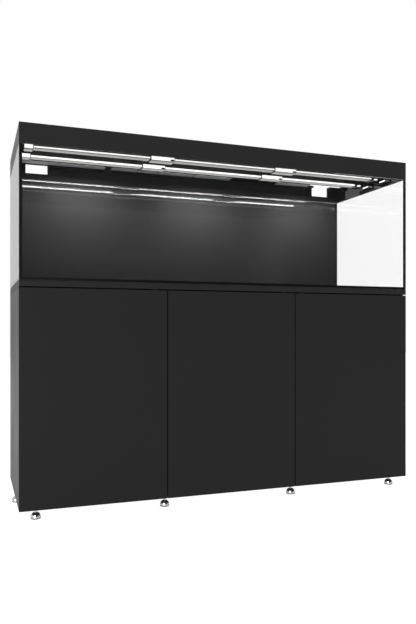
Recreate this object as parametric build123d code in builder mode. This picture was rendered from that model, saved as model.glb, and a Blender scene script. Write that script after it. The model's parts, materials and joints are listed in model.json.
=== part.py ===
from build123d import *
import os

os.makedirs("parts", exist_ok=True)

# Aquarium on a three-door cabinet. Millimetres, Z up, origin on the floor under the centre.
# X runs along the length, the front faces -Y.

# overall
LENGTH = 1800.0
DEPTH = 600.0
FOOT_HEIGHT = 42.0
HALF_L = LENGTH / 2
FRONT = -DEPTH / 2
REAR = DEPTH / 2

# cabinet
BOARD = 18.0
CARCASS_FRONT = FRONT + 22.0
DOOR_THICKNESS = 19.0
DOOR_BACK = FRONT + DOOR_THICKNESS
DOOR_TOP = 910.5
DOOR_GAP = 4.0
DOOR_JOINT_X = LENGTH / 6
TOP_BOARD_Z = 914.5
TOP_BOARD_T = 22.0
BACK_PANEL_T = 12.0
BACK_INNER = REAR - BACK_PANEL_T
FLOOR_TOP = FOOT_HEIGHT + BOARD
SHELF_Z = 470.0
EDGE = 0.8

# tank
MAT_T = 4.0
GLASS = 10.0
SEAM = 1.0
BEAD = 1.5
FILM = 2.0
TANK_Z = TOP_BOARD_Z + TOP_BOARD_T + MAT_T
RIM_Z = 1468.0
BACK_GLASS = REAR - FILM

# hood
TOP_Z = 1550.0
HOOD_T = 12.0
LID_T = 10.0
LID_Z = TOP_Z - LID_T
LID_AXIS_Y = 210.0
LID_AXIS_Z = TOP_Z - LID_T / 2
LID_BARREL_R = 4.8
LID_PLAY = 1.0
STRIP_FRONT = LID_AXIS_Y + 6.2
STRIP_END_X = 677.0
LEDGE_FRONT = 267.0
LID_JOINT_X = 441.5
LUG_L = 30.0
LUG_R = 4.6
LUG_PIN_R = 1.5
LUG_PIN_L = 70.0
RUN_FIT = 0.05
CLEAT = 12.0
CLEAT_H = 8.0
BAR_W = 29.0
BAR_T = 4.0
FINGER_R = 22.0
CUTOUT_X = (727.0, 830.0)
CUTOUT_Z = 1497.0

# lamps
ROW_Y = {"front": -99.0, "rear": 45.0}
LAMP_W = 50.0
LAMP_Z = (1502.0, 1512.0)
LAMP_GROOVE_Y = 38.0
LAMP_GROOVE_W = 4.0
LAMP_GROOVE_D = 2.0
RIDGE_W = 5.0
RIDGE_TOP = 1522.0
LAMP_X = {"left": (-829.0, -327.0), "middle": (-212.0, 285.0), "right": (402.0, 828.0)}
LAMP_PLAY = 0.3
TONGUE_W = 36.0
TONGUE_H = 6.0
TONGUE_L = 8.0
HOLDER_Z = (1498.0, 1517.0)
RAIL_W = 12.0
END_HOLDERS = ((-866.0, -829.0), (828.0, 865.0))
MIDDLE_HOLDERS = ((-327.0, -212.0), (285.0, 402.0))

# grey stiffening plates under the strip
STIFF_Y = (217.0, 260.0)
STIFF_T = 3.0
STIFF_X = (
    (-876.0, -456.0),
    (-427.0, -293.0),
    (-288.0, -183.0),
    (-178.0, 5.0),
    (11.0, 209.0),
    (480.0, 676.0),
)

# door hinges, in door coordinates: x from the hinge edge, y from the door's rear face
HINGE_Z = (150.0, 800.0)
PIN_X = 9.0
PIN_Y = -11.0
PIN_R = 1.25
EYE_R = 2.2
ARM_T = 2.0
ARM_HALF = 8.0
LEG = (23.5, 28.0)
LEG_END = 52.0
PLATE_START = 10.0
PLATE_HALF = 14.0
POCKET = (4.5, 40.0)
POCKET_HALF = 16.5
POCKET_DEPTH = 14.4
CUP_PLAY = 0.3
CUP_CAVITY = (5.5, 30.0)
CUP_FLOOR = 1.0
CAVITY_HALF = 9.0

# push-to-open latches
LATCH_W = 16.0
LATCH_BOTTOM = 896.0
LATCH_Z = 904.0
LATCH_L = 62.0
LATCH_WALL = 15.0
LATCH_INSET = 45.0
PLUNGER_R = 3.0
PLUNGER_L = 40.0
PLUNGER_GAP = 0.4

# feet
PAD_R = 20.0
PAD_T = 4.0
DOME_R = 19.4
DOME_MID = (17.6, 16.5)
DOME_TOP = 25.0
NECK_R = 6.5
NECK_TOP = 33.0
STEM_R = 4.0
STEM_TOP = 66.0
INSERT_R = 5.5
INSERT_L = 18.0
INSERT_FLANGE_R = 7.5
INSERT_FLANGE_T = 1.2
INSERT_PLAY = 0.3
FEET = {
    "foot_front_outer_left": (-833.0, -255.0),
    "foot_front_inner_left": (-300.0, -255.0),
    "foot_front_inner_right": (300.0, -255.0),
    "foot_front_outer_right": (833.0, -255.0),
    "foot_rear_outer_left": (-833.0, 255.0),
    "foot_rear_inner_left": (-300.0, 255.0),
    "foot_rear_inner_right": (300.0, 255.0),
    "foot_rear_outer_right": (833.0, 255.0),
    "foot_side_left": (-889.0, 20.0),
    "foot_side_right": (889.0, 20.0),
}

# openings for hoses and cables
HOSE_R = 30.0
HOSE_Y = 190.0
HOSE_Z = 800.0
SERVICE_W = 170.0
SERVICE_H = 100.0
SERVICE_Z = 780.0
SERVICE_X = (-595.0, 0.0, 595.0)

# each door: hinge edge, free edge, direction from hinge to free edge, face of the board that carries it
DOORS = {
    "left": (-HALF_L, -DOOR_JOINT_X - DOOR_GAP / 2, 1, -HALF_L + BOARD),
    "middle": (-DOOR_JOINT_X + DOOR_GAP / 2, DOOR_JOINT_X - DOOR_GAP / 2, 1, -DOOR_JOINT_X + BOARD / 2),
    "right": (HALF_L, DOOR_JOINT_X + DOOR_GAP / 2, -1, HALF_L - BOARD),
}

# X of the two hinge lugs of each lid
LUGS = {"left": (-792.0, -540.0), "middle": (-360.0, 360.0), "right": (500.0, 650.0)}


def save(builder, name):
    """Label the finished sub-part and write its file."""
    builder.part.label = name
    export_step(builder.part, f"parts/{name}.step")


def slab(x0, x1, y0, y1, z0, z1, mode=Mode.ADD):
    """A block between the given limits, added to or cut from the open part."""
    with BuildSketch(Plane.XY.offset(z0)) as outline:
        with Locations(((x0 + x1) / 2, (y0 + y1) / 2)):
            Rectangle(abs(x1 - x0), abs(y1 - y0))
    extrude(outline.sketch, amount=z1 - z0, mode=mode)


def post(x, y, radius, z0, z1, mode=Mode.ADD):
    """An upright cylinder."""
    with BuildSketch(Plane.XY.offset(z0)) as outline:
        with Locations((x, y)):
            Circle(radius)
    extrude(outline.sketch, amount=z1 - z0, mode=mode)


def rod_x(x0, x1, y, z, radius, mode=Mode.ADD):
    """A cylinder along X."""
    with BuildSketch(Plane.YZ.offset(x0)) as outline:
        with Locations((y, z)):
            Circle(radius)
    extrude(outline.sketch, amount=x1 - x0, mode=mode)


def rod_y(x, z, y0, y1, radius, mode=Mode.ADD):
    """A cylinder along Y."""
    with BuildSketch(Plane.XZ.offset(-y0)) as outline:
        with Locations((x, z)):
            Circle(radius)
    extrude(outline.sketch, amount=y0 - y1, mode=mode)


def window_y(x, z, width, height, radius, y0, y1):
    """A rounded window cut through a panel that faces Y."""
    with BuildSketch(Plane.XZ.offset(-y0)) as outline:
        with Locations((x, z)):
            RectangleRounded(width, height, radius)
    extrude(outline.sketch, amount=y0 - y1, mode=Mode.SUBTRACT)


def ease(size, edges):
    """Take the sharpness off the given edges of the open part."""
    chamfer(edges, length=size)


def panel(name, limits, size=EDGE):
    """A plain board or pane with eased edges."""
    with BuildPart() as board:
        slab(*limits)
        ease(size, board.edges())
    save(board, name)


def side_panel(name, side):
    """Cabinet side, with the blind hole of the side foot in its lower edge."""
    foot_x, foot_y = FEET[f"foot_side_{name.split('_')[0]}"]
    with BuildPart() as board:
        slab(side * (HALF_L - BOARD), side * HALF_L, CARCASS_FRONT, REAR, FOOT_HEIGHT, TOP_BOARD_Z)
        ease(EDGE, board.edges())
        post(foot_x, foot_y, INSERT_R + INSERT_PLAY, FOOT_HEIGHT, FOOT_HEIGHT + INSERT_L + 1, Mode.SUBTRACT)
        post(foot_x, foot_y, STEM_R + 1, FOOT_HEIGHT, STEM_TOP + 10, Mode.SUBTRACT)
    save(board, name)


def divider(name, x):
    """Inner upright with a hose opening near the rear."""
    with BuildPart() as board:
        slab(x - BOARD / 2, x + BOARD / 2, CARCASS_FRONT, BACK_INNER, FLOOR_TOP, TOP_BOARD_Z)
        ease(EDGE, board.edges())
        for foot_x, foot_y in FEET.values():
            if foot_x == x:
                post(foot_x, foot_y, STEM_R + 1, FLOOR_TOP, STEM_TOP + 10, Mode.SUBTRACT)
        rod_x(x - BOARD / 2, x + BOARD / 2, HOSE_Y, HOSE_Z, HOSE_R, Mode.SUBTRACT)
    save(board, name)


def bottom_board():
    """Cabinet floor with the holes of the foot inserts."""
    inner = HALF_L - BOARD
    with BuildPart() as board:
        slab(-inner, inner, CARCASS_FRONT, REAR, FOOT_HEIGHT, FLOOR_TOP)
        ease(EDGE, board.edges())
        for foot_x, foot_y in FEET.values():
            if abs(foot_x) < inner:
                post(foot_x, foot_y, INSERT_R + INSERT_PLAY, FOOT_HEIGHT, FLOOR_TOP, Mode.SUBTRACT)
    save(board, "bottom_board")


def back_panel():
    """Cabinet back with one service opening behind each bay."""
    inner = HALF_L - BOARD
    with BuildPart() as board:
        slab(-inner, inner, BACK_INNER, REAR, FLOOR_TOP, TOP_BOARD_Z)
        ease(EDGE, board.edges())
        for x in SERVICE_X:
            window_y(x, SERVICE_Z, SERVICE_W, SERVICE_H, 20, BACK_INNER, REAR)
    save(board, "back_panel")


def foot_inserts():
    """Threaded bushes that carry the levelling feet."""
    bottom = FOOT_HEIGHT - INSERT_FLANGE_T
    top = FOOT_HEIGHT + INSERT_L
    with BuildPart() as bushes:
        for x, y in FEET.values():
            post(x, y, INSERT_FLANGE_R, bottom, FOOT_HEIGHT)
            post(x, y, INSERT_R, FOOT_HEIGHT, top)
            post(x, y, STEM_R + RUN_FIT, bottom, top, Mode.SUBTRACT)
    save(bushes, "foot_inserts")


def foot(name, x, y):
    """Levelling foot: pad, dome, neck and threaded stem turned as one piece."""
    with BuildPart() as glide:
        with BuildSketch(Plane.XZ.offset(-y)) as section:
            with BuildLine():
                Polyline((x, 0), (x + PAD_R - 0.6, 0), (x + PAD_R, 0.6), (x + PAD_R, PAD_T - 0.6))
                Polyline((x + PAD_R, PAD_T - 0.6), (x + DOME_R, PAD_T))
                ThreePointArc((x + DOME_R, PAD_T), (x + DOME_MID[0], DOME_MID[1]), (x + NECK_R, DOME_TOP))
                Polyline((x + NECK_R, DOME_TOP), (x + NECK_R, NECK_TOP - 0.8), (x + NECK_R - 0.8, NECK_TOP))
                Polyline((x + NECK_R - 0.8, NECK_TOP), (x + STEM_R, NECK_TOP), (x + STEM_R, STEM_TOP - 1))
                Polyline((x + STEM_R, STEM_TOP - 1), (x + STEM_R - 1, STEM_TOP), (x, STEM_TOP), (x, 0))
            make_face()
        revolve(section.sketch, axis=Axis((x, y, 0), (0, 0, 1)))
    save(glide, name)


def hinge_parts():
    """Cranked arms with their pin eyes, and the plates that hold them."""
    with BuildPart() as arms:
        for edge_x, _, side, _ in DOORS.values():
            for z in HINGE_Z:
                pin_x = edge_x + side * PIN_X
                pin_y = DOOR_BACK + PIN_Y
                low = z - ARM_HALF
                high = z + ARM_HALF
                post(pin_x, pin_y, EYE_R, low, high)
                arm_y = (pin_y - ARM_T / 2, pin_y + ARM_T / 2)
                slab(pin_x, edge_x + side * LEG[1], *arm_y, low, high)
                leg_x = sorted((edge_x + side * LEG[0], edge_x + side * LEG[1]))
                slab(*leg_x, arm_y[0], DOOR_BACK + LEG_END, low, high)
                post(pin_x, pin_y, PIN_R + RUN_FIT, low, high, Mode.SUBTRACT)
    save(arms, "hinge_arms")

    with BuildPart() as plates:
        for edge_x, _, side, face_x in DOORS.values():
            span = sorted((face_x, edge_x + side * LEG[0]))
            for z in HINGE_Z:
                slab(*span, DOOR_BACK + PLATE_START, DOOR_BACK + LEG_END, z - PLATE_HALF, z + PLATE_HALF)
        ease(1.0, plates.edges().filter_by(Axis.X))
    save(plates, "hinge_plates")


def door(name, edge_x, free_x, side):
    """Flat door with a pocket for each hinge cup."""
    low, high = sorted((edge_x, free_x))
    pocket = sorted((edge_x + side * POCKET[0], edge_x + side * POCKET[1]))
    with BuildPart() as leaf:
        slab(low, high, FRONT, DOOR_BACK, FOOT_HEIGHT, DOOR_TOP)
        upright = leaf.edges().filter_by(Axis.Z)
        hinge_rear = upright.sort_by_distance((edge_x, DOOR_BACK, 475))[0:1]
        ease(1.5, hinge_rear)
        ease(EDGE, leaf.faces().sort_by(Axis.Y)[0].edges())
        for z in HINGE_Z:
            bottom = z - POCKET_HALF
            slab(*pocket, DOOR_BACK - POCKET_DEPTH, DOOR_BACK, bottom, z + POCKET_HALF, Mode.SUBTRACT)
    save(leaf, f"door_{name}")

    cup = sorted((edge_x + side * (POCKET[0] + CUP_PLAY), edge_x + side * (POCKET[1] - CUP_PLAY)))
    cavity = sorted((edge_x + side * CUP_CAVITY[0], edge_x + side * CUP_CAVITY[1]))
    pin_x = edge_x + side * PIN_X
    cup_y = DOOR_BACK - POCKET_DEPTH
    cup_half = POCKET_HALF - CUP_PLAY
    with BuildPart() as cups:
        for z in HINGE_Z:
            slab(*cup, cup_y, DOOR_BACK, z - cup_half, z + cup_half)
            slab(*cavity, cup_y + CUP_FLOOR, DOOR_BACK, z - CAVITY_HALF, z + CAVITY_HALF, Mode.SUBTRACT)
            post(pin_x, DOOR_BACK + PIN_Y, PIN_R, z - CAVITY_HALF - 2, z + CAVITY_HALF + 2)
    save(cups, f"hinge_cups_{name}")


def latch_x(name):
    """Middle of the latch that serves the named door."""
    _, free_x, side, _ = DOORS[name]
    return free_x - side * LATCH_INSET


def latch_housings():
    """Push-latch bodies fixed under the top board."""
    rear = CARCASS_FRONT + LATCH_L
    bore_end = rear - LATCH_WALL
    with BuildPart() as housings:
        for name in DOORS:
            x = latch_x(name)
            slab(x - LATCH_W / 2, x + LATCH_W / 2, CARCASS_FRONT, rear, LATCH_BOTTOM, TOP_BOARD_Z)
            rod_y(x, LATCH_Z, CARCASS_FRONT, bore_end, PLUNGER_R + RUN_FIT, Mode.SUBTRACT)
        ease(0.6, housings.faces().sort_by(Axis.Z)[0:3].edges().filter_by(Axis.Y))
    save(housings, "latch_housings")


def plunger(name):
    """Spring plunger of one push latch."""
    start = DOOR_BACK + PLUNGER_GAP
    with BuildPart() as pin:
        rod_y(latch_x(name), LATCH_Z, start, start + PLUNGER_L, PLUNGER_R)
        chamfer(pin.faces().sort_by(Axis.Y)[0].edges(), length=0.6)
    save(pin, f"latch_plunger_{name}")


def tank_panes():
    """Five glass panes; the front pane covers the side panes, which hold the rear pane between them."""
    inner = HALF_L - GLASS
    back_inner = BACK_GLASS - GLASS
    front_inner = FRONT + GLASS
    between = inner - SEAM
    sides = (front_inner + SEAM, BACK_GLASS, TANK_Z, RIM_Z)
    panel("tank_front_pane", (-HALF_L, HALF_L, FRONT, front_inner, TANK_Z, RIM_Z))
    panel("tank_back_pane", (-between, between, back_inner, BACK_GLASS, TANK_Z, RIM_Z))
    panel("tank_left_pane", (-HALF_L, -inner, *sides))
    panel("tank_right_pane", (inner, HALF_L, *sides))
    bottom = (front_inner + SEAM, back_inner - SEAM, TANK_Z, TANK_Z + GLASS)
    panel("tank_bottom_pane", (-between, between, *bottom))
    panel("background_sheet", (-HALF_L, HALF_L, BACK_GLASS, REAR, TANK_Z, RIM_Z), 0.3)


def silicone_seams():
    """Black silicone: corner joints with their beads, and the joint round the bottom pane."""
    inner = HALF_L - GLASS
    between = inner - SEAM
    front_inner = FRONT + GLASS
    back_inner = BACK_GLASS - GLASS
    floor_z = TANK_Z + GLASS
    with BuildPart() as seams:
        for side in (-1, 1):
            span = sorted((side * HALF_L, side * inner))
            slab(*span, front_inner, front_inner + SEAM, TANK_Z, RIM_Z - SEAM)
            low, high = sorted((side * inner, side * between))
            slab(low, high, front_inner, BACK_GLASS, TANK_Z, floor_z)
            slab(low, high, back_inner, BACK_GLASS, TANK_Z, RIM_Z - SEAM)
            for wall_y, into in ((front_inner, 1), (back_inner, -1)):
                corner = (side * inner, wall_y)
                along = (side * (between - BEAD), wall_y)
                inward = (side * inner, wall_y + into * (BEAD + SEAM))
                with BuildSketch(Plane.XY.offset(floor_z)) as bead:
                    with BuildLine():
                        Polyline(corner, along, inward, close=True)
                    make_face()
                extrude(bead.sketch, amount=RIM_Z - SEAM - floor_z)
            low, high = sorted((side * inner, side * (between - BEAD)))
            slab(low, high, front_inner, back_inner, floor_z, floor_z + SEAM)
        slab(-inner, inner, front_inner, front_inner + SEAM, TANK_Z, floor_z)
        slab(-inner, inner, back_inner - SEAM, back_inner, TANK_Z, floor_z)
        slab(-inner, inner, front_inner, front_inner + BEAD + SEAM, floor_z, floor_z + SEAM)
        slab(-inner, inner, back_inner - BEAD - SEAM, back_inner, floor_z, floor_z + SEAM)
    save(seams, "silicone_seams")


def hood_back_panel():
    """Rear wall of the hood: a notch near each end for hoses and cables, a ledge by the corner opening."""
    wall_front = REAR - HOOD_T
    with BuildPart() as wall:
        slab(-HALF_L, HALF_L, wall_front, REAR, RIM_Z, TOP_Z)
        ease(EDGE, wall.edges())
        slab(STRIP_END_X, HALF_L - HOOD_T, LEDGE_FRONT, wall_front, LID_Z, TOP_Z)
        near, far = CUTOUT_X
        slab(-far, -near, wall_front, REAR, CUTOUT_Z, LID_Z, Mode.SUBTRACT)
        slab(near, far, LEDGE_FRONT, REAR, CUTOUT_Z, TOP_Z, Mode.SUBTRACT)
    save(wall, "hood_back_panel")


def hood_walls():
    """Front, side and rear walls of the hood, and the fixed strip behind the lids."""
    inner = HALF_L - HOOD_T
    panel("hood_front_panel", (-HALF_L, HALF_L, FRONT, FRONT + HOOD_T, RIM_Z, TOP_Z))
    panel("hood_left_panel", (-HALF_L, -inner, FRONT + HOOD_T, REAR - HOOD_T, RIM_Z, TOP_Z))
    panel("hood_right_panel", (inner, HALF_L, FRONT + HOOD_T, REAR - HOOD_T, RIM_Z, TOP_Z))
    panel("hood_rear_strip", (-inner, STRIP_END_X, STRIP_FRONT, REAR - HOOD_T, LID_Z, TOP_Z))
    hood_back_panel()


def hood_cleats():
    """Ledges that the lids and the fixed strip rest on."""
    inner = HALF_L - HOOD_T
    front = FRONT + HOOD_T
    rear = REAR - HOOD_T
    bar_inner = LID_JOINT_X - BAR_W / 2
    bar_outer = LID_JOINT_X + BAR_W / 2
    side_end = inner - CLEAT
    strip_start = -CUTOUT_X[0] + 7
    front_spans = ((-side_end, -bar_outer), (-bar_inner, bar_inner), (bar_outer, side_end))
    rear_spans = ((strip_start, -bar_outer), (-bar_inner, bar_inner), (bar_outer, STRIP_END_X))
    with BuildPart() as ledges:
        slab(-inner, -inner + CLEAT, front, STRIP_FRONT, LID_Z - CLEAT_H, LID_Z)
        slab(inner - CLEAT, inner, front, STRIP_FRONT, LID_Z - CLEAT_H, LID_Z)
        for x0, x1 in front_spans:
            slab(x0, x1, front, front + CLEAT, LID_Z - CLEAT_H, LID_Z)
        for x0, x1 in rear_spans:
            slab(x0, x1, rear - CLEAT, rear, LID_Z - CLEAT_H, LID_Z)
    save(ledges, "hood_cleats")


def hood_plates():
    """Stiffening plates under the fixed strip."""
    with BuildPart() as plates:
        for x0, x1 in STIFF_X:
            slab(x0, x1, *STIFF_Y, LID_Z - STIFF_T, LID_Z)
        ease(1.0, plates.edges().filter_by(Axis.X).group_by(Axis.Z)[0])
    save(plates, "hood_plates")


def hood_crossbars():
    """Flat bars under the joints between the lids; the lamp rails hang from them."""
    with BuildPart() as bars:
        for x in (-LID_JOINT_X, LID_JOINT_X):
            slab(x - BAR_W / 2, x + BAR_W / 2, FRONT + HOOD_T, REAR - HOOD_T, LID_Z - BAR_T, LID_Z)
    save(bars, "hood_crossbars")


def lid_span(index):
    """Lower and upper X of one lid."""
    inner = HALF_L - HOOD_T
    edges = (-inner, -LID_JOINT_X, LID_JOINT_X, inner)
    return edges[index] + LID_PLAY, edges[index + 1] - LID_PLAY


def lid(name, index):
    """Hinged lid: flat panel, rear barrel with gaps for the lugs, finger notch in front."""
    x0, x1 = lid_span(index)
    front = FRONT + HOOD_T + LID_PLAY
    with BuildPart() as leaf:
        slab(x0, x1, front, LID_AXIS_Y, LID_Z, TOP_Z)
        ease(EDGE, leaf.edges().filter_by(Plane.XZ).sort_by(Axis.Y)[0:4])
        rod_x(x0, x1, LID_AXIS_Y, LID_AXIS_Z, LID_BARREL_R)
        for x in LUGS[name]:
            half = LUG_L / 2 + 0.5
            slab(x - half, x + half, LID_AXIS_Y - 7, LID_AXIS_Y + 7, LID_Z - 1, TOP_Z + 1, Mode.SUBTRACT)
        rod_x(x0, x1, LID_AXIS_Y, LID_AXIS_Z, LUG_PIN_R + RUN_FIT, Mode.SUBTRACT)
        post((x0 + x1) / 2, front, FINGER_R, LID_Z, TOP_Z, Mode.SUBTRACT)
    save(leaf, f"hood_lid_{name}")


def hood_hinge_lugs():
    """Fixed lugs on the strip's front edge, and the pins that pass through them."""
    half = LUG_L / 2
    with BuildPart() as lugs:
        for pair in LUGS.values():
            for x in pair:
                rod_x(x - half, x + half, LID_AXIS_Y, LID_AXIS_Z, LUG_R)
                low = LID_AXIS_Z - LUG_R
                slab(x - half, x + half, LID_AXIS_Y, STRIP_FRONT, low, LID_AXIS_Z + LUG_R)
                rod_x(x - half, x + half, LID_AXIS_Y, LID_AXIS_Z, LUG_PIN_R + RUN_FIT, Mode.SUBTRACT)
    save(lugs, "hood_hinge_lugs")

    with BuildPart() as pins:
        for pair in LUGS.values():
            for x in pair:
                rod_x(x - LUG_PIN_L / 2, x + LUG_PIN_L / 2, LID_AXIS_Y, LID_AXIS_Z, LUG_PIN_R)
    save(pins, "hood_hinge_pins")


def lamp_rails():
    """Two rails that carry the lamp holders."""
    inner = HALF_L - HOOD_T - CLEAT
    with BuildPart() as rails:
        for y in ROW_Y.values():
            slab(-inner, inner, y - RAIL_W / 2, y + RAIL_W / 2, HOLDER_Z[1], LID_Z - BAR_T)
        ease(1.0, rails.edges().filter_by(Axis.X))
    save(rails, "lamp_rails")


def tongue(x0, x1, y, play, mode=Mode.ADD):
    """The flat tongue of a lamp, or with play its socket."""
    middle = (LAMP_Z[0] + LAMP_Z[1]) / 2
    wide = TONGUE_W / 2 + play
    high = TONGUE_H / 2 + play
    slab(x0, x1, y - wide, y + wide, middle - high, middle + high, mode)


def lamp_holders():
    """Blocks under the rails, with a socket at each lamp end."""
    half = LAMP_W / 2 + 1
    deep = TONGUE_L + 0.4
    left, right = END_HOLDERS
    sockets = [(left[1] - deep, left[1]), (right[0], right[0] + deep)]
    for x0, x1 in MIDDLE_HOLDERS:
        sockets.append((x0, x0 + deep))
        sockets.append((x1 - deep, x1))
    with BuildPart() as blocks:
        for y in ROW_Y.values():
            for x0, x1 in END_HOLDERS + MIDDLE_HOLDERS:
                slab(x0, x1, y - half, y + half, *HOLDER_Z)
        ease(2.0, blocks.edges().filter_by(Axis.X))
        for y in ROW_Y.values():
            for x0, x1 in sockets:
                tongue(x0, x1, y, LAMP_PLAY, Mode.SUBTRACT)
    save(blocks, "lamp_holders")


def lamp(row, position):
    """Flat light unit: grooved underside, a ridge along the rear of its top, a tongue at each end."""
    y = ROW_Y[row]
    x0, x1 = LAMP_X[position]
    x0 += LAMP_PLAY
    x1 -= LAMP_PLAY
    half = LAMP_W / 2
    groove = y - half + LAMP_GROOVE_Y
    groove_top = LAMP_Z[0] + LAMP_GROOVE_D
    with BuildPart() as unit:
        slab(x0, x1, y - half, y + half, *LAMP_Z)
        ease(1.5, unit.edges().filter_by(Axis.X))
        slab(x0, x1, y + half - 2 - RIDGE_W, y + half - 2, LAMP_Z[1], RIDGE_TOP)
        slab(x0, x1, groove, groove + LAMP_GROOVE_W, LAMP_Z[0], groove_top, Mode.SUBTRACT)
        tongue(x0 - TONGUE_L - LAMP_PLAY, x0, y, 0)
        tongue(x1, x1 + TONGUE_L + LAMP_PLAY, y, 0)
    save(unit, f"lamp_{row}_{position}")


def cabinet():
    """The fixed boards of the cabinet."""
    side_panel("left_side_panel", -1)
    side_panel("right_side_panel", 1)
    divider("left_divider", -DOOR_JOINT_X)
    divider("right_divider", DOOR_JOINT_X)
    bottom_board()
    back_panel()
    half = DOOR_JOINT_X - BOARD / 2
    panel("top_board", (-HALF_L, HALF_L, FRONT, REAR, TOP_BOARD_Z, TOP_BOARD_Z + TOP_BOARD_T))
    panel("shelf", (-half, half, CARCASS_FRONT + 30, BACK_INNER, SHELF_Z, SHELF_Z + BOARD))
    panel("foam_mat", (-HALF_L + 1, HALF_L - 1, FRONT + 1, REAR - 1, TANK_Z - MAT_T, TANK_Z), 0.5)


cabinet()
hinge_parts()
latch_housings()
foot_inserts()
for door_name, (hinge_edge, free_edge, direction, _) in DOORS.items():
    door(door_name, hinge_edge, free_edge, direction)
    plunger(door_name)
for foot_name, (foot_x, foot_y) in FEET.items():
    foot(foot_name, foot_x, foot_y)
tank_panes()
silicone_seams()
hood_walls()
hood_cleats()
hood_crossbars()
hood_plates()
hood_hinge_lugs()
for lid_index, lid_name in enumerate(LUGS):
    lid(lid_name, lid_index)
lamp_rails()
lamp_holders()
for row_name in ROW_Y:
    for lamp_place in LAMP_X:
        lamp(row_name, lamp_place)
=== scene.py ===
import json
import math

import bmesh
import bpy
from mathutils import Matrix, Vector

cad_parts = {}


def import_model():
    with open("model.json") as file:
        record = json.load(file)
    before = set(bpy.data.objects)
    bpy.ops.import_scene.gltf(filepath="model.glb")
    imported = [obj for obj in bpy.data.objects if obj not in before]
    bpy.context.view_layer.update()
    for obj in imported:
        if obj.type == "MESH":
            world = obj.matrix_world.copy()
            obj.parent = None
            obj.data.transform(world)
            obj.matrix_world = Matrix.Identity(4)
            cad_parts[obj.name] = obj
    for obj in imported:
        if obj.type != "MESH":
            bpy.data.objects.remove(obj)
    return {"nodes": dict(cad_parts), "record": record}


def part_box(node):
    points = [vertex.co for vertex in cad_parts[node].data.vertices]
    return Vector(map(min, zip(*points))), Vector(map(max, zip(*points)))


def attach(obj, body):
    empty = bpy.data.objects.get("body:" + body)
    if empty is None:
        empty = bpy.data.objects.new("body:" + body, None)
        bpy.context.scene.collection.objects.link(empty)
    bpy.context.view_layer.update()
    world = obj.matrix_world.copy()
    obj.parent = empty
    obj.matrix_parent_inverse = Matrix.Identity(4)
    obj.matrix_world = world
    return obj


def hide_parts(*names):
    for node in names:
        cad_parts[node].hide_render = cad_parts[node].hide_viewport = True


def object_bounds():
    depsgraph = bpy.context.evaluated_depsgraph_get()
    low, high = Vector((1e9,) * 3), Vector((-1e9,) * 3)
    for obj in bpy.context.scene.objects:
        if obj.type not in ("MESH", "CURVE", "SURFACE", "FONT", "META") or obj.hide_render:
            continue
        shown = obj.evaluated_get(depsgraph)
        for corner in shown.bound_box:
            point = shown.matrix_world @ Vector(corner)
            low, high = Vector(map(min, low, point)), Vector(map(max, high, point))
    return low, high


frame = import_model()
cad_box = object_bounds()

MM = 0.001


# ---------------------------------------------------------------- shader helpers

def new_material(name):
    """An empty node material with its output node; returns the material and the tree."""
    mat = bpy.data.materials.new(name)
    mat.use_nodes = True
    tree = mat.node_tree
    tree.nodes.clear()
    tree.nodes.new("ShaderNodeOutputMaterial")
    return mat, tree


def output_of(tree):
    return next(n for n in tree.nodes if n.type == "OUTPUT_MATERIAL")


def grey(value):
    """A neutral colour."""
    return value, value, value


def noise(tree, scale, detail=3.0, stretch=(1, 1, 1)):
    """Noise over object coordinates; returns the factor socket."""
    coords = tree.nodes.new("ShaderNodeTexCoord")
    mapping = tree.nodes.new("ShaderNodeMapping")
    mapping.inputs["Scale"].default_value = stretch
    tree.links.new(coords.outputs["Object"], mapping.inputs["Vector"])
    tex = tree.nodes.new("ShaderNodeTexNoise")
    tex.inputs["Scale"].default_value = scale
    tex.inputs["Detail"].default_value = detail
    tree.links.new(mapping.outputs["Vector"], tex.inputs["Vector"])
    return tex.outputs["Fac"]


def level(tree, source, low, high, span=(0, 1)):
    """Map a socket over span onto low..high, each a number or another socket."""
    node = tree.nodes.new("ShaderNodeMapRange")
    node.inputs["From Min"].default_value = span[0]
    node.inputs["From Max"].default_value = span[1]
    for name, value in (("To Min", low), ("To Max", high)):
        if isinstance(value, bpy.types.NodeSocket):
            tree.links.new(value, node.inputs[name])
        else:
            node.inputs[name].default_value = value
    tree.links.new(source, node.inputs["Value"])
    return node.outputs["Result"]


def blend_colour(tree, factor, first, second):
    """Colour that goes from first to second with factor."""
    node = tree.nodes.new("ShaderNodeMix")
    node.data_type = "RGBA"
    node.inputs[6].default_value = (*first, 1)
    node.inputs[7].default_value = (*second, 1)
    tree.links.new(factor, node.inputs[0])
    return node.outputs[2]


def bump(tree, height, strength):
    """Bump from a height socket; returns the normal socket."""
    node = tree.nodes.new("ShaderNodeBump")
    node.inputs["Strength"].default_value = strength
    node.inputs["Distance"].default_value = BUMP_DISTANCE
    tree.links.new(height, node.inputs["Height"])
    return node.outputs["Normal"]


BUMP_DISTANCE = 1 * MM
NOISE_SPAN = (0.3, 0.7)      # the part of the noise's range that most points fall in


def surface(name, dark, light, rough, specular=0.5, metallic=0.0, patch=5.0, grain=900.0,
            grain_depth=0.02, stretch=(1, 1, 1)):
    """Principled surface: slow colour and roughness drift, fine grain in the bump."""
    mat, tree = new_material(name)
    shader = tree.nodes.new("ShaderNodeBsdfPrincipled")
    shader.inputs["Specular IOR Level"].default_value = specular
    shader.inputs["Metallic"].default_value = metallic
    slow = noise(tree, patch, 4.0)
    fine = noise(tree, grain, 2.0, stretch)
    tree.links.new(blend_colour(tree, slow, dark, light), shader.inputs["Base Color"])
    tree.links.new(level(tree, slow, *rough, NOISE_SPAN), shader.inputs["Roughness"])
    tree.links.new(bump(tree, fine, grain_depth), shader.inputs["Normal"])
    tree.links.new(shader.outputs[0], output_of(tree).inputs["Surface"])
    return mat


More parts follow.
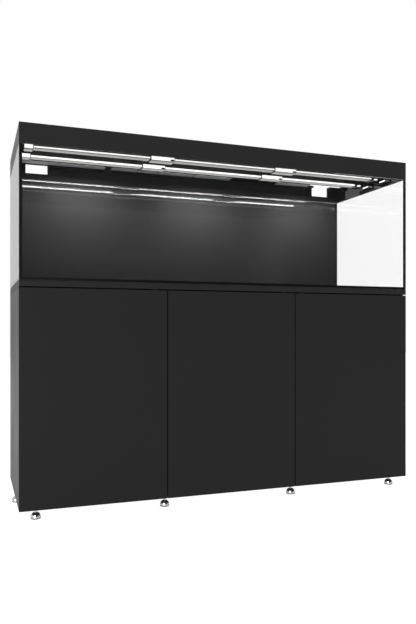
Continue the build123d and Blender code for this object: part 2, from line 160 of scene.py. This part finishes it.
def glass(name, index):
    """Clear glass that lets lamp rays straight through."""
    mat, tree = new_material(name)
    shader = tree.nodes.new("ShaderNodeBsdfPrincipled")
    shader.inputs["Base Color"].default_value = (*GLASS_TINT, 1)
    shader.inputs["Transmission Weight"].default_value = 1.0
    shader.inputs["Roughness"].default_value = 0.0
    shader.inputs["IOR"].default_value = index
    clear = tree.nodes.new("ShaderNodeBsdfTransparent")
    clear.inputs["Color"].default_value = (*GLASS_TINT, 1)
    path = tree.nodes.new("ShaderNodeLightPath")
    mix = tree.nodes.new("ShaderNodeMixShader")
    tree.links.new(path.outputs["Is Shadow Ray"], mix.inputs[0])
    tree.links.new(shader.outputs[0], mix.inputs[1])
    tree.links.new(clear.outputs[0], mix.inputs[2])
    tree.links.new(mix.outputs[0], output_of(tree).inputs["Surface"])
    return mat


def glowing(name, colour, strength, tone):
    """Opal diffuser: plastic of a grey tone that gives light. On the holders and the glowing edges
    it is painted light.
    """
    mat, tree = new_material(name)
    shader = tree.nodes.new("ShaderNodeBsdfPrincipled")
    pale = (0.9 * tone, 0.9 * tone, 0.91 * tone)
    tree.links.new(blend_colour(tree, noise(tree, 30.0), pale, grey(tone)),
                   shader.inputs["Base Color"])
    shader.inputs["Roughness"].default_value = 0.35
    shader.inputs["Emission Color"].default_value = (*colour, 1)
    shader.inputs["Emission Strength"].default_value = strength
    tree.links.new(shader.outputs[0], output_of(tree).inputs["Surface"])
    return mat


# ---------------------------------------------------------------- materials

GLASS_TINT = (0.992, 0.994, 0.992)
GLASS_INDEX = 1.5
BACKED_INDEX = 1.1           # the rear pane's: the sheet behind it does the mirroring
LAMP_COLOUR = (1.0, 0.99, 0.97)
# Colour of the painted highlights: edges that glow so that the back sheet mirrors bright lines.
PAINTED_HIGHLIGHT_COLOUR = (1.0, 1.0, 1.0)

BOARD = {"patch": 4.0, "grain": 1100.0, "grain_depth": 0.05, "stretch": (1, 1, 0.15)}
MOULDED = {"patch": 4.0, "grain": 700.0, "grain_depth": 0.02}
MIRROR = {"specular": 1.0, "grain": 300.0, "grain_depth": 0.0005}

lacquer = surface("door_lacquer", grey(0.0228), grey(0.0248), (0.42, 0.48), specular=0.08,
                  patch=3.0, grain=1400.0, grain_depth=0.03)
laminate = surface("board_laminate", grey(0.024), grey(0.027), (0.36, 0.42), specular=0.12,
                   **BOARD)
side_laminate = surface("side_laminate", grey(0.024), grey(0.027), (0.36, 0.42), specular=0.24,
                        **BOARD)
# Painted shade: a darker, matte copy of the board laminate for the top board's underside.
shaded_underside_laminate = surface("shaded_underside_laminate", grey(0.010), grey(0.013), (0.80, 0.90), specular=0.0,
                       **BOARD)
hood_gloss = surface("hood_plastic", grey(0.028), grey(0.031), (0.36, 0.42), specular=0.10,
                     **MOULDED)
hood_side = surface("hood_side_plastic", grey(0.028), grey(0.031), (0.30, 0.36), specular=0.18,
                    **MOULDED)
# Painted shade: a darker, rougher copy of the hood plastic for the faces inside the hood.
inner_hood_shade = surface("hood_plastic_painted_shade", grey(0.010), grey(0.013), (0.60, 0.70), specular=0.1,
                     patch=4.0, grain=500.0, grain_depth=0.10)
# Inner faces of the hood's sides: mirror gloss, and as dark as the painted shade inside the hood.
hood_mirror = surface("hood_end_gloss", grey(0.010), grey(0.013), (0.02, 0.03), patch=4.0,
                      **MIRROR)
sheet_gloss = surface("background_gloss", grey(0.017), grey(0.019), (0.02, 0.03), patch=2.5,
                      **MIRROR)
sheet_back = surface("background_outside", grey(0.024), grey(0.030), (0.50, 0.58), specular=0.1,
                     patch=6.0, grain=600.0, grain_depth=0.08)
silicone = surface("black_silicone", grey(0.004), grey(0.006), (0.40, 0.50), specular=0.2,
                   grain=500.0)
low_silicone = surface("low_silicone", grey(0.028), grey(0.034), (0.45, 0.55), specular=0.2,
                       grain=500.0)
foam = surface("closed_cell_foam", grey(0.022), (0.038, 0.038, 0.039), (0.85, 0.95),
               specular=0.1, patch=900.0, grain=1500.0, grain_depth=0.6)
chrome = surface("foot_chrome", (0.84, 0.84, 0.85), (0.94, 0.94, 0.95), (0.06, 0.12),
                 metallic=1.0, patch=60.0, grain=1500.0, grain_depth=0.01)
steel = surface("nickel_steel", (0.48, 0.47, 0.45), (0.60, 0.59, 0.57), (0.22, 0.34),
                metallic=1.0, patch=40.0, grain_depth=0.05, stretch=(1, 1, 0.1))
black_metal = surface("black_anodised", grey(0.008), (0.014, 0.014, 0.015), (0.34, 0.44),
                      metallic=0.3, patch=20.0, grain=1200.0, grain_depth=0.08,
                      stretch=(0.04, 1, 1))
satin_plate = surface("satin_plate", (0.50, 0.50, 0.505), (0.56, 0.56, 0.565), (0.45, 0.55),
                      specular=0.3, patch=12.0, grain=1200.0, grain_depth=0.05,
                      stretch=(0.05, 1, 1))
white_plastic = surface("white_moulding", (0.80, 0.80, 0.78), (0.87, 0.87, 0.86), (0.38, 0.48),
                        patch=40.0, grain=1600.0, grain_depth=0.05)
grey_plastic = surface("grey_moulding", (0.12, 0.12, 0.13), (0.16, 0.16, 0.17), (0.45, 0.55),
                       patch=60.0, grain=1500.0, grain_depth=0.08)
pale_plastic = surface("plunger_acetal", grey(0.50), grey(0.58), (0.35, 0.45), patch=80.0)
dark_rubber = surface("dark_rubber", grey(0.012), grey(0.022), (0.6, 0.75), patch=80.0,
                      grain_depth=0.2)
dark_band = surface("lamp_dark_band", grey(0.010), grey(0.014), (0.10, 0.16), specular=0.6,
                    patch=30.0, grain=600.0)
float_glass = glass("float_glass", GLASS_INDEX)
backed_glass = glass("backed_glass", BACKED_INDEX)
lip_glow = glowing("lamp_lip", LAMP_COLOUR, 1.1, 0.3)
seam_glow = glowing("lamp_seam", LAMP_COLOUR, 0.13, 0.08)
opal_glow = glowing("lamp_opal", LAMP_COLOUR, 0.40, 0.15)
# Painted highlight: a strong glow on edges that give no lamp light, mirrored as bright lines in the
# back sheet.
painted_highlight_glow = glowing("painted_rear_highlight", PAINTED_HIGHLIGHT_COLOUR, 16.0, 0.3)

MATERIAL_OF = {
    "board_laminate": laminate, "door_lacquer": lacquer, "hood_plastic": hood_gloss,
    "background": sheet_gloss, "silicone": silicone, "foam": foam, "chrome": chrome,
    "steel": steel, "black_metal": black_metal, "holder_plastic": white_plastic,
    "latch_plastic": grey_plastic, "plunger_plastic": pale_plastic, "glass": float_glass,
    "lamp_diffuser": opal_glow, "plate_satin": satin_plate,
}
# The lamps' looks; the holders wear them too, so their white faces glow as painted light.
LAMP_LOOKS = [lip_glow, seam_glow, opal_glow, dark_band, white_plastic, painted_highlight_glow]
GLOW, SEAM, OPAL, DARK, WHITE, EDGE = range(6)      # places in LAMP_LOOKS; EDGE is the glow of the painted highlights
LAMP_NODES = ("lamp_front_", "lamp_rear_")
SLOT_OF = {s["node"]: s["material_slot"] for s in frame["record"]["subparts"]}
BODY_OF = {node: body for body, nodes in frame["record"]["behaviour"]["bodies"].items()
           for node in nodes}
SEAM_SPLIT = 0.955           # the seams below this height are the lighter ones


def repaint(node, mat, wanted):
    """Give another material to the faces of a CAD part for which wanted(normal, centre) holds."""
    mesh = frame["nodes"][node].data
    mesh.materials.append(mat)
    for polygon in mesh.polygons:
        if wanted(polygon.normal, polygon.center):
            polygon.material_index = len(mesh.materials) - 1


def facing(*way):
    """A test for repaint: the faces that look this way."""
    return lambda normal, centre: normal.dot(Vector(way)) > 0.5


def everywhere(normal, centre):
    return True


def paint_parts():
    """Give each CAD part its slot's material, and some faces another one."""
    for name, part in frame["nodes"].items():
        part.data.materials.clear()
        part.data.materials.append(MATERIAL_OF[SLOT_OF[name]])
    left, right, down = facing(-1, 0, 0), facing(1, 0, 0), facing(0, 0, -1)
    for node, mat, wanted in (
            # faces inside the hood get the painted shade
            ("hood_front_panel", inner_hood_shade, facing(0, 1, 0)),
            ("hood_back_panel", inner_hood_shade, facing(0, -1, 0)),
            ("hood_rear_strip", inner_hood_shade, down),
            ("hood_lid_left", inner_hood_shade, down),
            ("hood_lid_middle", inner_hood_shade, down),
            ("hood_lid_right", inner_hood_shade, down),
            ("hood_cleats", inner_hood_shade, everywhere),
            ("hood_left_panel", hood_side, left),
            ("hood_left_panel", hood_mirror, right),
            ("hood_right_panel", hood_mirror, left),
            ("hood_right_panel", hood_side, right),
            ("tank_back_pane", backed_glass, everywhere),
            ("silicone_seams", low_silicone, lambda normal, centre: centre.z < SEAM_SPLIT),
            ("left_side_panel", side_laminate, left),
            ("right_side_panel", side_laminate, right),
            # the top board's underside gets the painted shade
            ("top_board", shaded_underside_laminate, down)):
        repaint(node, mat, wanted)


# ---------------------------------------------------------------- mesh helpers

def add_object(name, bm, materials, body, smooth_angle=0.6):
    """Make an object of a bmesh and let it ride on a body."""
    bmesh.ops.recalc_face_normals(bm, faces=bm.faces)
    mesh = bpy.data.meshes.new(name)
    bm.to_mesh(mesh)
    bm.free()
    obj = bpy.data.objects.new(name, mesh)
    bpy.context.scene.collection.objects.link(obj)
    for mat in materials:
        mesh.materials.append(mat)
    mesh.shade_smooth()
    mesh.set_sharp_from_angle(angle=smooth_angle)
    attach(obj, body)
    return obj


def block(bm, low, high, bevel, segments=2, index=0):
    """A box between two corners with rounded edges, added to a bmesh."""
    low, high = Vector(low), Vector(high)
    start = len(bm.faces)
    made = bmesh.ops.create_cube(bm, size=1.0)
    bmesh.ops.scale(bm, verts=made["verts"], vec=high - low)
    bmesh.ops.translate(bm, verts=made["verts"], vec=(low + high) / 2)
    edges = list(dict.fromkeys(e for v in made["verts"] for e in v.link_edges))
    bmesh.ops.bevel(bm, geom=edges, offset=bevel, segments=segments, profile=0.5, affect="EDGES")
    bm.faces.ensure_lookup_table()
    for face in bm.faces[start:]:
        face.material_index = index


def lathe(bm, outline, origin, steps=48, index=0, along_x=False):
    """Turn an outline of (radius, height) points about Z, or X, through origin."""
    turn = Matrix.Rotation(math.pi / 2, 3, "Y") if along_x else Matrix.Identity(3)
    origin = Vector(origin)
    rings = []
    for radius, height in outline:
        ring = []
        for i in range(steps if radius > 0 else 1):
            angle = 2 * math.pi * i / steps
            point = Vector((radius * math.cos(angle), radius * math.sin(angle), height))
            ring.append(bm.verts.new(origin + turn @ point))
        rings.append(ring)
    for lower, upper in zip(rings, rings[1:]):
        for i in range(steps):
            j = (i + 1) % steps
            corners = [lower[i % len(lower)], lower[j % len(lower)],
                       upper[j % len(upper)], upper[i % len(upper)]]
            unique = list(dict.fromkeys(corners))
            if len(unique) > 2:
                bm.faces.new(unique).material_index = index


# ---------------------------------------------------------------- background sheet

SOFT = 0.8 * MM              # edge roundings: mouldings, strips, and sharp edges
SKIN = 0.4 * MM
HARD = 0.2 * MM
SHEET_GAP = 0.4 * MM
SHEET_SMOOTH = 0.1           # small, so that the rounded edges leave the mirror flat


def background():
    """Black sheet just behind the rear pane."""
    low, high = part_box("background_sheet")
    bm = bmesh.new()
    block(bm, (low[0] + SHEET_GAP, low[1] + SHEET_GAP, low[2] + SHEET_GAP),
          (high[0] - SHEET_GAP, high[1], high[2] - SHEET_GAP), HARD)
    bm.normal_update()
    for face in bm.faces:
        face.material_index = 1 if face.normal.y > 0.5 else 0
    obj = add_object("background_sheet_gloss", bm, [sheet_gloss, sheet_back], "cabinet",
                     SHEET_SMOOTH)
    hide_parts("background_sheet")


# ---------------------------------------------------------------- lamps

TONGUE = 8.3 * MM            # length of the tongue at each end of a lamp
TONGUE_HALF = 18 * MM
TONGUE_IN = 1 * MM           # how far it reaches into the casing
TONGUE_INSET = 2 * MM        # below the casing's top and above its bottom
BODY_H = 10 * MM
FACE_T = 6 * MM              # the lit front face, and how far it stays below the casing's top
CROWN = 1 * MM
CASING_LIFT = 3 * MM         # the casing over the strips: from their bottom and from the rear
CASING_BACK = 1 * MM
OPAL_DROP = 2 * MM           # the strips' tops, from the casing's top
DARK_DROP = 3 * MM
RIDGE = (7 * MM, 1 * MM)     # the ridge's front and rear, from the lamp's rear
RIDGE_ROOT = 1 * MM
EDGE_LOW = 3 * MM            # the ridge's glowing part, a painted highlight, from the casing's top
EDGE_HIGH = 10 * MM
RIB_IN = 3 * MM              # the rib across each end of the casing's top
RIB_HALF = 2.5 * MM
RIB_FRONT = 8 * MM
RIB_REAR = 10 * MM
RIB_H = 1 * MM
RIB_SOFT = 0.6 * MM

# The lip's height, then where the seam and the opal strip end behind the front.
FRONT_LAMP = (2.5 * MM, 7 * MM, 38 * MM)
REAR_LAMP = (1 * MM, 1 * MM, 38 * MM)
# The holders' bands: on these blocks the glowing lip, seam and opal strip are painted light.
HOLDERS = ((1.5 * MM, 13 * MM, 49 * MM), (1.5 * MM, 4 * MM, 39 * MM))


def paint_rear_highlight(bm, y, z0, z1):
    """Give the painted highlight's glowing material to the rear-facing faces at y between two
    heights.
    """
    bm.normal_update()
    for face in bm.faces:
        centre = face.calc_center_median()
        if face.normal.y > 0.9 and abs(centre.y - y) < 0.3 * MM and z0 < centre.z < z1:
            face.material_index = EDGE


def strips(bm, xs, ys, zs, lip, seam_end, opal_end):
    """White front face over a grey seam, an opal strip and a dark band, under a white casing; face,
    seam and strip glow, which on the holders is painted light.
    """
    (x0, x1), (y0, y1), (bottom, top) = xs, ys, zs
    block(bm, (x0, y0 + FACE_T / 2, bottom + CASING_LIFT), (x1, y1 - CASING_BACK, top),
          SOFT, 3, WHITE)
    block(bm, (x0, y0, bottom + lip), (x1, y0 + FACE_T, top - CROWN), SOFT, 3, GLOW)
    block(bm, (x0, y0 + SKIN, bottom), (x1, y0 + seam_end, bottom + lip + SKIN), SKIN, 2, SEAM)
    block(bm, (x0, y0 + seam_end, bottom), (x1, y0 + opal_end, top - OPAL_DROP), SKIN, 2, OPAL)
    block(bm, (x0, y0 + opal_end, bottom + SKIN), (x1, y1, top - DARK_DROP), SKIN, 2, DARK)


def lamp(node):
    """Flat light unit with a ridge along the rear of its top whose rear edge glows as a painted
    highlight.
    """
    low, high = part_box(node)
    x0, x1 = low[0] + TONGUE, high[0] - TONGUE
    y0, y1 = low[1], high[1]
    bottom, top = low[2], low[2] + BODY_H
    bm = bmesh.new()
    strips(bm, (x0, x1), (y0, y1), (bottom, top),
           *(FRONT_LAMP if "_front_" in node else REAR_LAMP))
    front, rear = y1 - RIDGE[0], y1 - RIDGE[1]
    block(bm, (x0, front, top - RIDGE_ROOT), (x1, rear, top + EDGE_LOW), HARD, 2, DARK)
    block(bm, (x0, front, top + EDGE_LOW), (x1, rear, top + EDGE_HIGH), HARD, 2, DARK)
    paint_rear_highlight(bm, rear, top + EDGE_LOW, top + EDGE_HIGH)
    for x in (x0 + RIB_IN, x1 - RIB_IN):
        block(bm, (x - RIB_HALF, y0 + RIB_FRONT, top - RIB_H),
              (x + RIB_HALF, y1 - RIB_REAR, top + RIB_H), RIB_SOFT, 2, WHITE)
    middle = (y0 + y1) / 2
    for start, end in ((low[0], x0 + TONGUE_IN), (x1 - TONGUE_IN, high[0])):
        block(bm, (start, middle - TONGUE_HALF, bottom + TONGUE_INSET),
              (end, middle + TONGUE_HALF, top - TONGUE_INSET), SOFT, 2, WHITE)
    obj = add_object(node + "_unit", bm, LAMP_LOOKS, BODY_OF[node])
    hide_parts(node)


# ---------------------------------------------------------------- lamp holders

WIDE_HOLDER = 60 * MM        # holders wider than this carry a lock and leave a gap on the left
GAP_LEFT = 7 * MM
GAP_RIGHT = 3 * MM
OVERHANG = 1 * MM            # holders stand out from the lamps by this, front and rear
CORE_FRONT = 4 * MM          # the dark core behind the white strips
CORE_INSET = 2 * MM
LINE_LOW = 13 * MM           # the glowing line on a holder's rear, a painted highlight, from its bottom
LINE_H = 3 * MM
LINE_T = 1 * MM
LOCK_IN = 9 * MM             # the lock's middle, from the holder's right and bottom
LOCK_UP = 5.5 * MM
LOCK_SIZE = (11 * MM, 4 * MM)
LOCK_RINGS = ((1.0, 0.2 * MM), (1.0, 0.5 * MM), (0.8, 0.7 * MM), (0.7, 0.4 * MM))
LOCK_STEPS = 24

SLIM_FRONT = 2 * MM          # the slim end piece: its body, its glowing tip (a painted highlight) and its glowing slanted cap (painted light)
TIP_OUT = 0.3 * MM
TIP_T = 1 * MM
TIP_FRONT = 4 * MM
TIP_REAR = 2 * MM
TIP_LOW = 5 * MM
TIP_HIGH = 11 * MM
CAP_LEFT = 12 * MM
CAP_RIGHT = 6 * MM
CAP_LOW = 3 * MM
CAP_TOP = 9 * MM
CAP_LEAN = 5 * MM
CAP_T = 4 * MM


def holders():
    """White blocks between and beside the lamps, their faces glowing as painted light; the wide
    ones carry a lock on their face.
    """
    low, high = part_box("lamp_holders")
    bottom, top = low[2], high[2]
    boxes = [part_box(n) for n in frame["nodes"] if n.startswith(LAMP_NODES)]
    rows = sorted({(box[0][1], box[1][1]) for box in boxes})
    ends = sorted({(box[0][0] + TONGUE, box[1][0] - TONGUE) for box in boxes})
    spans = [(low[0], ends[0][0])]
    spans += [(first[1], second[0]) for first, second in zip(ends, ends[1:])]
    bm = bmesh.new()
    for (y0, y1), bands in zip(rows, HOLDERS):
        front, rear = y0 - OVERHANG, y1 + OVERHANG
        for x0, x1 in spans:
            wide = x1 - x0 > WIDE_HOLDER
            start, end = x0 + (GAP_LEFT if wide else 0), x1 - GAP_RIGHT
            strips(bm, (start, end), (front, rear), (bottom, top), *bands)
            block(bm, (x0, y0 + CORE_FRONT, bottom + CORE_INSET),
                  (x1, y1 - CORE_INSET, top - CORE_INSET), SKIN, 2, DARK)
            line = bottom + LINE_LOW
            block(bm, (start, rear - LINE_T, line), (end, rear, line + LINE_H), HARD, 2, DARK)
            paint_rear_highlight(bm, rear, line, line + LINE_H)
            if wide:
                lock(bm, end - LOCK_IN, front, bottom + LOCK_UP)
        slim_end(bm, (ends[-1][1], high[0]), (front, rear), (bottom, top))
    obj = add_object("lamp_holder_blocks", bm, LAMP_LOOKS, "cabinet")
    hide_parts("lamp_holders")


def slim_end(bm, xs, ys, zs):
    """Narrow right-hand end piece: dark body, a tip that glows as a painted highlight and a slanted
    cap that glows as painted light.
    """
    (x0, x1), (y0, y1), (bottom, top) = xs, ys, zs
    block(bm, (x0, y0 + SLIM_FRONT, bottom), (x1, y1, top), SOFT, 3, DARK)
    tip = x1 + TIP_OUT
    block(bm, (x1 - TIP_T, y0 + TIP_FRONT, bottom + TIP_LOW),
          (tip, y1 - TIP_REAR, bottom + TIP_HIGH), HARD, 2, DARK)
    bm.normal_update()
    for face in bm.faces:
        if face.normal.x > 0.9 and abs(face.calc_center_median().x - tip) < 0.1 * MM:
            face.material_index = EDGE
    start, end = x0 + CAP_LEFT, x1 - CAP_RIGHT
    low, high = bottom + CAP_LOW, top - CAP_TOP
    near = [bm.verts.new(point) for point in (
        (start, y0, low), (end, y0, low), (end + CAP_LEAN, y0, high), (start + CAP_LEAN, y0, high))]
    far = [bm.verts.new((v.co.x, y0 + CAP_T, v.co.z)) for v in near]
    # The cap glows with the lamps' lip material: painted light.
    bm.faces.new(near).material_index = GLOW
    bm.faces.new(list(reversed(far))).material_index = GLOW
    for i in range(4):
        j = (i + 1) % 4
        bm.faces.new((near[j], near[i], far[i], far[j])).material_index = GLOW


def lock(bm, x, y, z):
    """Dark oval lock button set in a block's front face."""
    rings = []
    for scale, depth in LOCK_RINGS:
        ring = []
        for i in range(LOCK_STEPS):
            angle = 2 * math.pi * i / LOCK_STEPS
            ring.append(bm.verts.new((x + LOCK_SIZE[0] * scale * math.cos(angle), y - depth,
                                      z + LOCK_SIZE[1] * scale * math.sin(angle))))
        rings.append(ring)
    for first, second in zip(rings, rings[1:]):
        for i in range(LOCK_STEPS):
            j = (i + 1) % LOCK_STEPS
            bm.faces.new((first[i], first[j], second[j], second[i])).material_index = DARK
    bm.faces.new(rings[-1]).material_index = DARK
    bm.faces.new(rings[0]).material_index = DARK


# ---------------------------------------------------------------- feet

# Outlines of (radius, height above the floor) in millimetres.
PAD = [(0, 0.4), (6, 0.4), (7, 0), (10, 0), (11, 0.4), (14, 0.4), (15, 0), (19.2, 0),
       (19.8, 0.6), (19.8, 2.6), (19.0, 3.0), (0, 3.0)]
DOME = [(0, 2.8), (18.8, 2.8), (19.7, 3.0), (20.0, 3.5), (20.0, 4.6), (19.6, 5.1), (19.5, 5.6),
        (19.8, 7.0), (19.7, 9.5), (19.2, 12.4), (18.2, 15.4), (16.6, 18.2), (14.4, 20.8),
        (11.6, 23.0), (8.6, 24.6), (7.2, 25.2), (0, 25.2)]
NECK = [(0, 25.4), (6.0, 25.4), (6.5, 25.9), (6.5, 32.4), (5.9, 33.0), (0, 33.0)]
STEM_LOW, STEM_HIGH = 33, 66
STEM_R = 4
STEM_END_R = 3
STEM_PLAIN = 1.5             # left without thread at the top
THREAD_PITCH = 1.25
THREAD_DEPTH = 0.5
THREAD_FLAT = 0.15
FOOT_SMOOTH = 0.5


def stem_outline():
    """Outline of the threaded stem, in millimetres."""
    root = STEM_R - THREAD_DEPTH
    outline = [(0, STEM_LOW), (root, STEM_LOW)]
    for i in range(int((STEM_HIGH - STEM_LOW - STEM_PLAIN) / THREAD_PITCH)):
        base = STEM_LOW + i * THREAD_PITCH
        outline += [(root, base + THREAD_FLAT), (STEM_R, base + THREAD_PITCH / 2),
                    (root, base + THREAD_PITCH - THREAD_FLAT)]
    return outline + [(STEM_END_R, STEM_HIGH), (0, STEM_HIGH)]


def foot(node):
    """Levelling foot: ribbed rubber pad, chrome rim and dome, hexagon neck, threaded stem."""
    low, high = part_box(node)
    middle = ((low[0] + high[0]) / 2, (low[1] + high[1]) / 2, low[2])
    bm = bmesh.new()
    for outline, steps, index in ((PAD, 48, 1), (DOME, 48, 0), (NECK, 6, 0),
                                  (stem_outline(), 24, 0)):
        lathe(bm, [(r * MM, h * MM) for r, h in outline], middle, steps, index)
    obj = add_object(node + "_turned", bm, [chrome, dark_rubber], BODY_OF[node],
                     FOOT_SMOOTH)
    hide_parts(node)


# ---------------------------------------------------------------- screws

SCREW_R = 2.3 * MM
SCREW_H = 1.0 * MM
SCREW_STEPS = 20
SCREW = [(0, 0.25), (0.32, 0.3), (0.42, 0.95), (0.75, 0.85), (1, 0.35), (1, 0)]    # of R and H
CUP_EDGE = 4.8 * MM          # the hinge plates' faces, from the cups' edges
PLATE_FACE = 23.5 * MM
SCREW_Y = (22 * MM, 40 * MM)         # behind the cups' rear
SCREW_Z = (-11 * MM, 11 * MM)        # about a hinge's middle
HINGE_Z = (0.150, 0.800)


def fixings():
    """Domed screw heads with a sunk centre, four on each hinge plate."""
    bm = bmesh.new()
    for node in ("hinge_cups_left", "hinge_cups_middle", "hinge_cups_right"):
        low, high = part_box(node)
        side = -1 if "right" in node else 1
        edge = (low[0] if side > 0 else high[0]) - side * CUP_EDGE
        outline = [(r * SCREW_R, side * h * SCREW_H) for r, h in SCREW]
        for z in HINGE_Z:
            for y in SCREW_Y:
                for dz in SCREW_Z:
                    spot = (edge + side * PLATE_FACE, high[1] + y, z + dz)
                    lathe(bm, outline, spot, SCREW_STEPS, along_x=True)
    add_object("hinge_plate_screws", bm, [steel], "cabinet")


# ---------------------------------------------------------------- floor and world

FLOOR_HALF = 14.0
FLOOR_DROP = 0.5 * MM
FLOOR_GLOW = 0.68            # the floor's glow as light, as seen, and as mirrored
FLOOR_SEEN = 1.0
FLOOR_MIRRORED = 0.38
WORLD_SEEN = 1.0
WORLD_LIGHT = 0.5
WORLD_MIRRORED = 0.62
WORLD_THROUGH = 1.16
WORLD_FRONT = 0.04
FRONT_EDGE = (-0.75, -0.05)  # where the dim front turns into the bright rest, along Y


def floor():
    """Plain pale floor."""
    mat, tree = new_material("pale_floor")
    shader = tree.nodes.new("ShaderNodeBsdfPrincipled")
    shader.inputs["Roughness"].default_value = 0.9
    shader.inputs["Specular IOR Level"].default_value = 0.1
    tree.links.new(blend_colour(tree, noise(tree, 2.0), grey(0.86), grey(0.88)),
                   shader.inputs["Base Color"])
    shader.inputs["Emission Color"].default_value = (1, 1, 1, 1)
    path = tree.nodes.new("ShaderNodeLightPath")
    mirrored = level(tree, path.outputs["Is Glossy Ray"], FLOOR_GLOW, FLOOR_MIRRORED)
    glow = level(tree, path.outputs["Is Camera Ray"], mirrored, FLOOR_SEEN)
    tree.links.new(glow, shader.inputs["Emission Strength"])
    tree.links.new(shader.outputs[0], output_of(tree).inputs["Surface"])
    bm = bmesh.new()
    bmesh.ops.create_grid(bm, x_segments=8, y_segments=8, size=FLOOR_HALF)
    mesh = bpy.data.meshes.new("floor")
    bm.to_mesh(mesh)
    bm.free()
    mesh.materials.append(mat)
    obj = bpy.data.objects.new("floor", mesh)
    obj.location.z = cad_box[0][2] - FLOOR_DROP
    bpy.context.scene.collection.objects.link(obj)


def world():
    """White studio: full white as seen, dimmer as light and in mirrors, dimmest in front."""
    scene = bpy.context.scene
    scene.world = bpy.data.worlds.new("studio")
    scene.world.use_nodes = True
    tree = scene.world.node_tree
    back = next(n for n in tree.nodes if n.type == "BACKGROUND")
    back.inputs["Color"].default_value = (1, 1, 1, 1)
    path = tree.nodes.new("ShaderNodeLightPath")
    coords = tree.nodes.new("ShaderNodeTexCoord")
    axes = tree.nodes.new("ShaderNodeSeparateXYZ")
    tree.links.new(coords.outputs["Generated"], axes.inputs[0])
    through = level(tree, path.outputs["Is Transmission Ray"], WORLD_MIRRORED, WORLD_THROUGH)
    turn = level(tree, axes.outputs["Y"], WORLD_FRONT, through, FRONT_EDGE)
    turn.node.interpolation_type = "SMOOTHSTEP"
    lit = level(tree, path.outputs["Is Diffuse Ray"], turn, WORLD_LIGHT)
    seen = level(tree, path.outputs["Is Camera Ray"], lit, WORLD_SEEN)
    tree.links.new(seen, back.inputs["Strength"])


# ---------------------------------------------------------------- lights and camera

LAMP_POWER = 20.0            # per metre of light
LAMP_LIT = 0.66              # share of a lamp's length that lights the sheet
LAMP_BEAM = 30 * MM
LAMP_BACK = 65 * MM          # the light stands this far behind the lamp, and below it
LAMP_DROP = 8 * MM
HIGHLIGHT_SIZE = (2.4, 2.4)
HIGHLIGHT_POWER = 110.0
HIGHLIGHT_AT = (-2.6, -3.6, 1.0)
HIGHLIGHT_AIM = (-0.3, -0.3, 0.0)

SENSOR = 36.0
LENS = 35.70
SHIFT = 0.0289
CAMERA_LEFT = 0.1657         # from the left door's front left corner
CAMERA_BACK = 2.4687
CAMERA_HEIGHT = 0.745
CAMERA_YAW = math.radians(19.29)


def area_light(name, size, power, location):
    """Rectangular light that the camera and rays through glass don't see."""
    data = bpy.data.lights.new(name, "AREA")
    data.shape = "RECTANGLE"
    data.size, data.size_y = size
    data.energy = power
    obj = bpy.data.objects.new(name, data)
    obj.location = location
    obj.visible_camera = False
    obj.visible_transmission = False
    bpy.context.scene.collection.objects.link(obj)
    return obj


def lamp_light(node):
    """Soft light that a rear lamp gives down the back of the tank, not seen in mirrors."""
    low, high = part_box(node)
    length = LAMP_LIT * (high[0] - low[0] - 2 * TONGUE)
    obj = area_light(node + "_light", (length, LAMP_BEAM), LAMP_POWER * length,
                     ((low[0] + high[0]) / 2, high[1] + LAMP_BACK, low[2] - LAMP_DROP))
    obj.visible_glossy = False


def highlight():
    """Soft box by the camera that only shows in polished parts."""
    obj = area_light("highlight", HIGHLIGHT_SIZE, HIGHLIGHT_POWER, HIGHLIGHT_AT)
    aim = Vector(HIGHLIGHT_AIM) - obj.location
    obj.rotation_euler = aim.to_track_quat("-Z", "Y").to_euler()
    obj.visible_diffuse = False


def camera():
    """Level camera at a seated person's eye height, left of the tank, shifted for the framing."""
    data = bpy.data.cameras.new("camera")
    data.sensor_width = SENSOR
    data.lens = LENS
    data.shift_x = SHIFT
    data.shift_y = SHIFT
    obj = bpy.data.objects.new("camera", data)
    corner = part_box("door_left")[0]
    obj.location = (corner[0] - CAMERA_LEFT, corner[1] - CAMERA_BACK, CAMERA_HEIGHT)
    obj.rotation_euler = (math.pi / 2, 0, -CAMERA_YAW)
    bpy.context.scene.collection.objects.link(obj)
    bpy.context.scene.camera = obj


# ---------------------------------------------------------------- scene

paint_parts()
background()
for lamp_node in [n for n in frame["nodes"] if n.startswith(LAMP_NODES)]:
    lamp(lamp_node)
    if "_rear_" in lamp_node:
        lamp_light(lamp_node)
holders()
for foot_node in [n for n in frame["nodes"] if SLOT_OF[n] == "chrome"]:
    foot(foot_node)
fixings()
floor()
world()
highlight()
camera()
bpy.context.scene.view_settings.view_transform = "Standard"
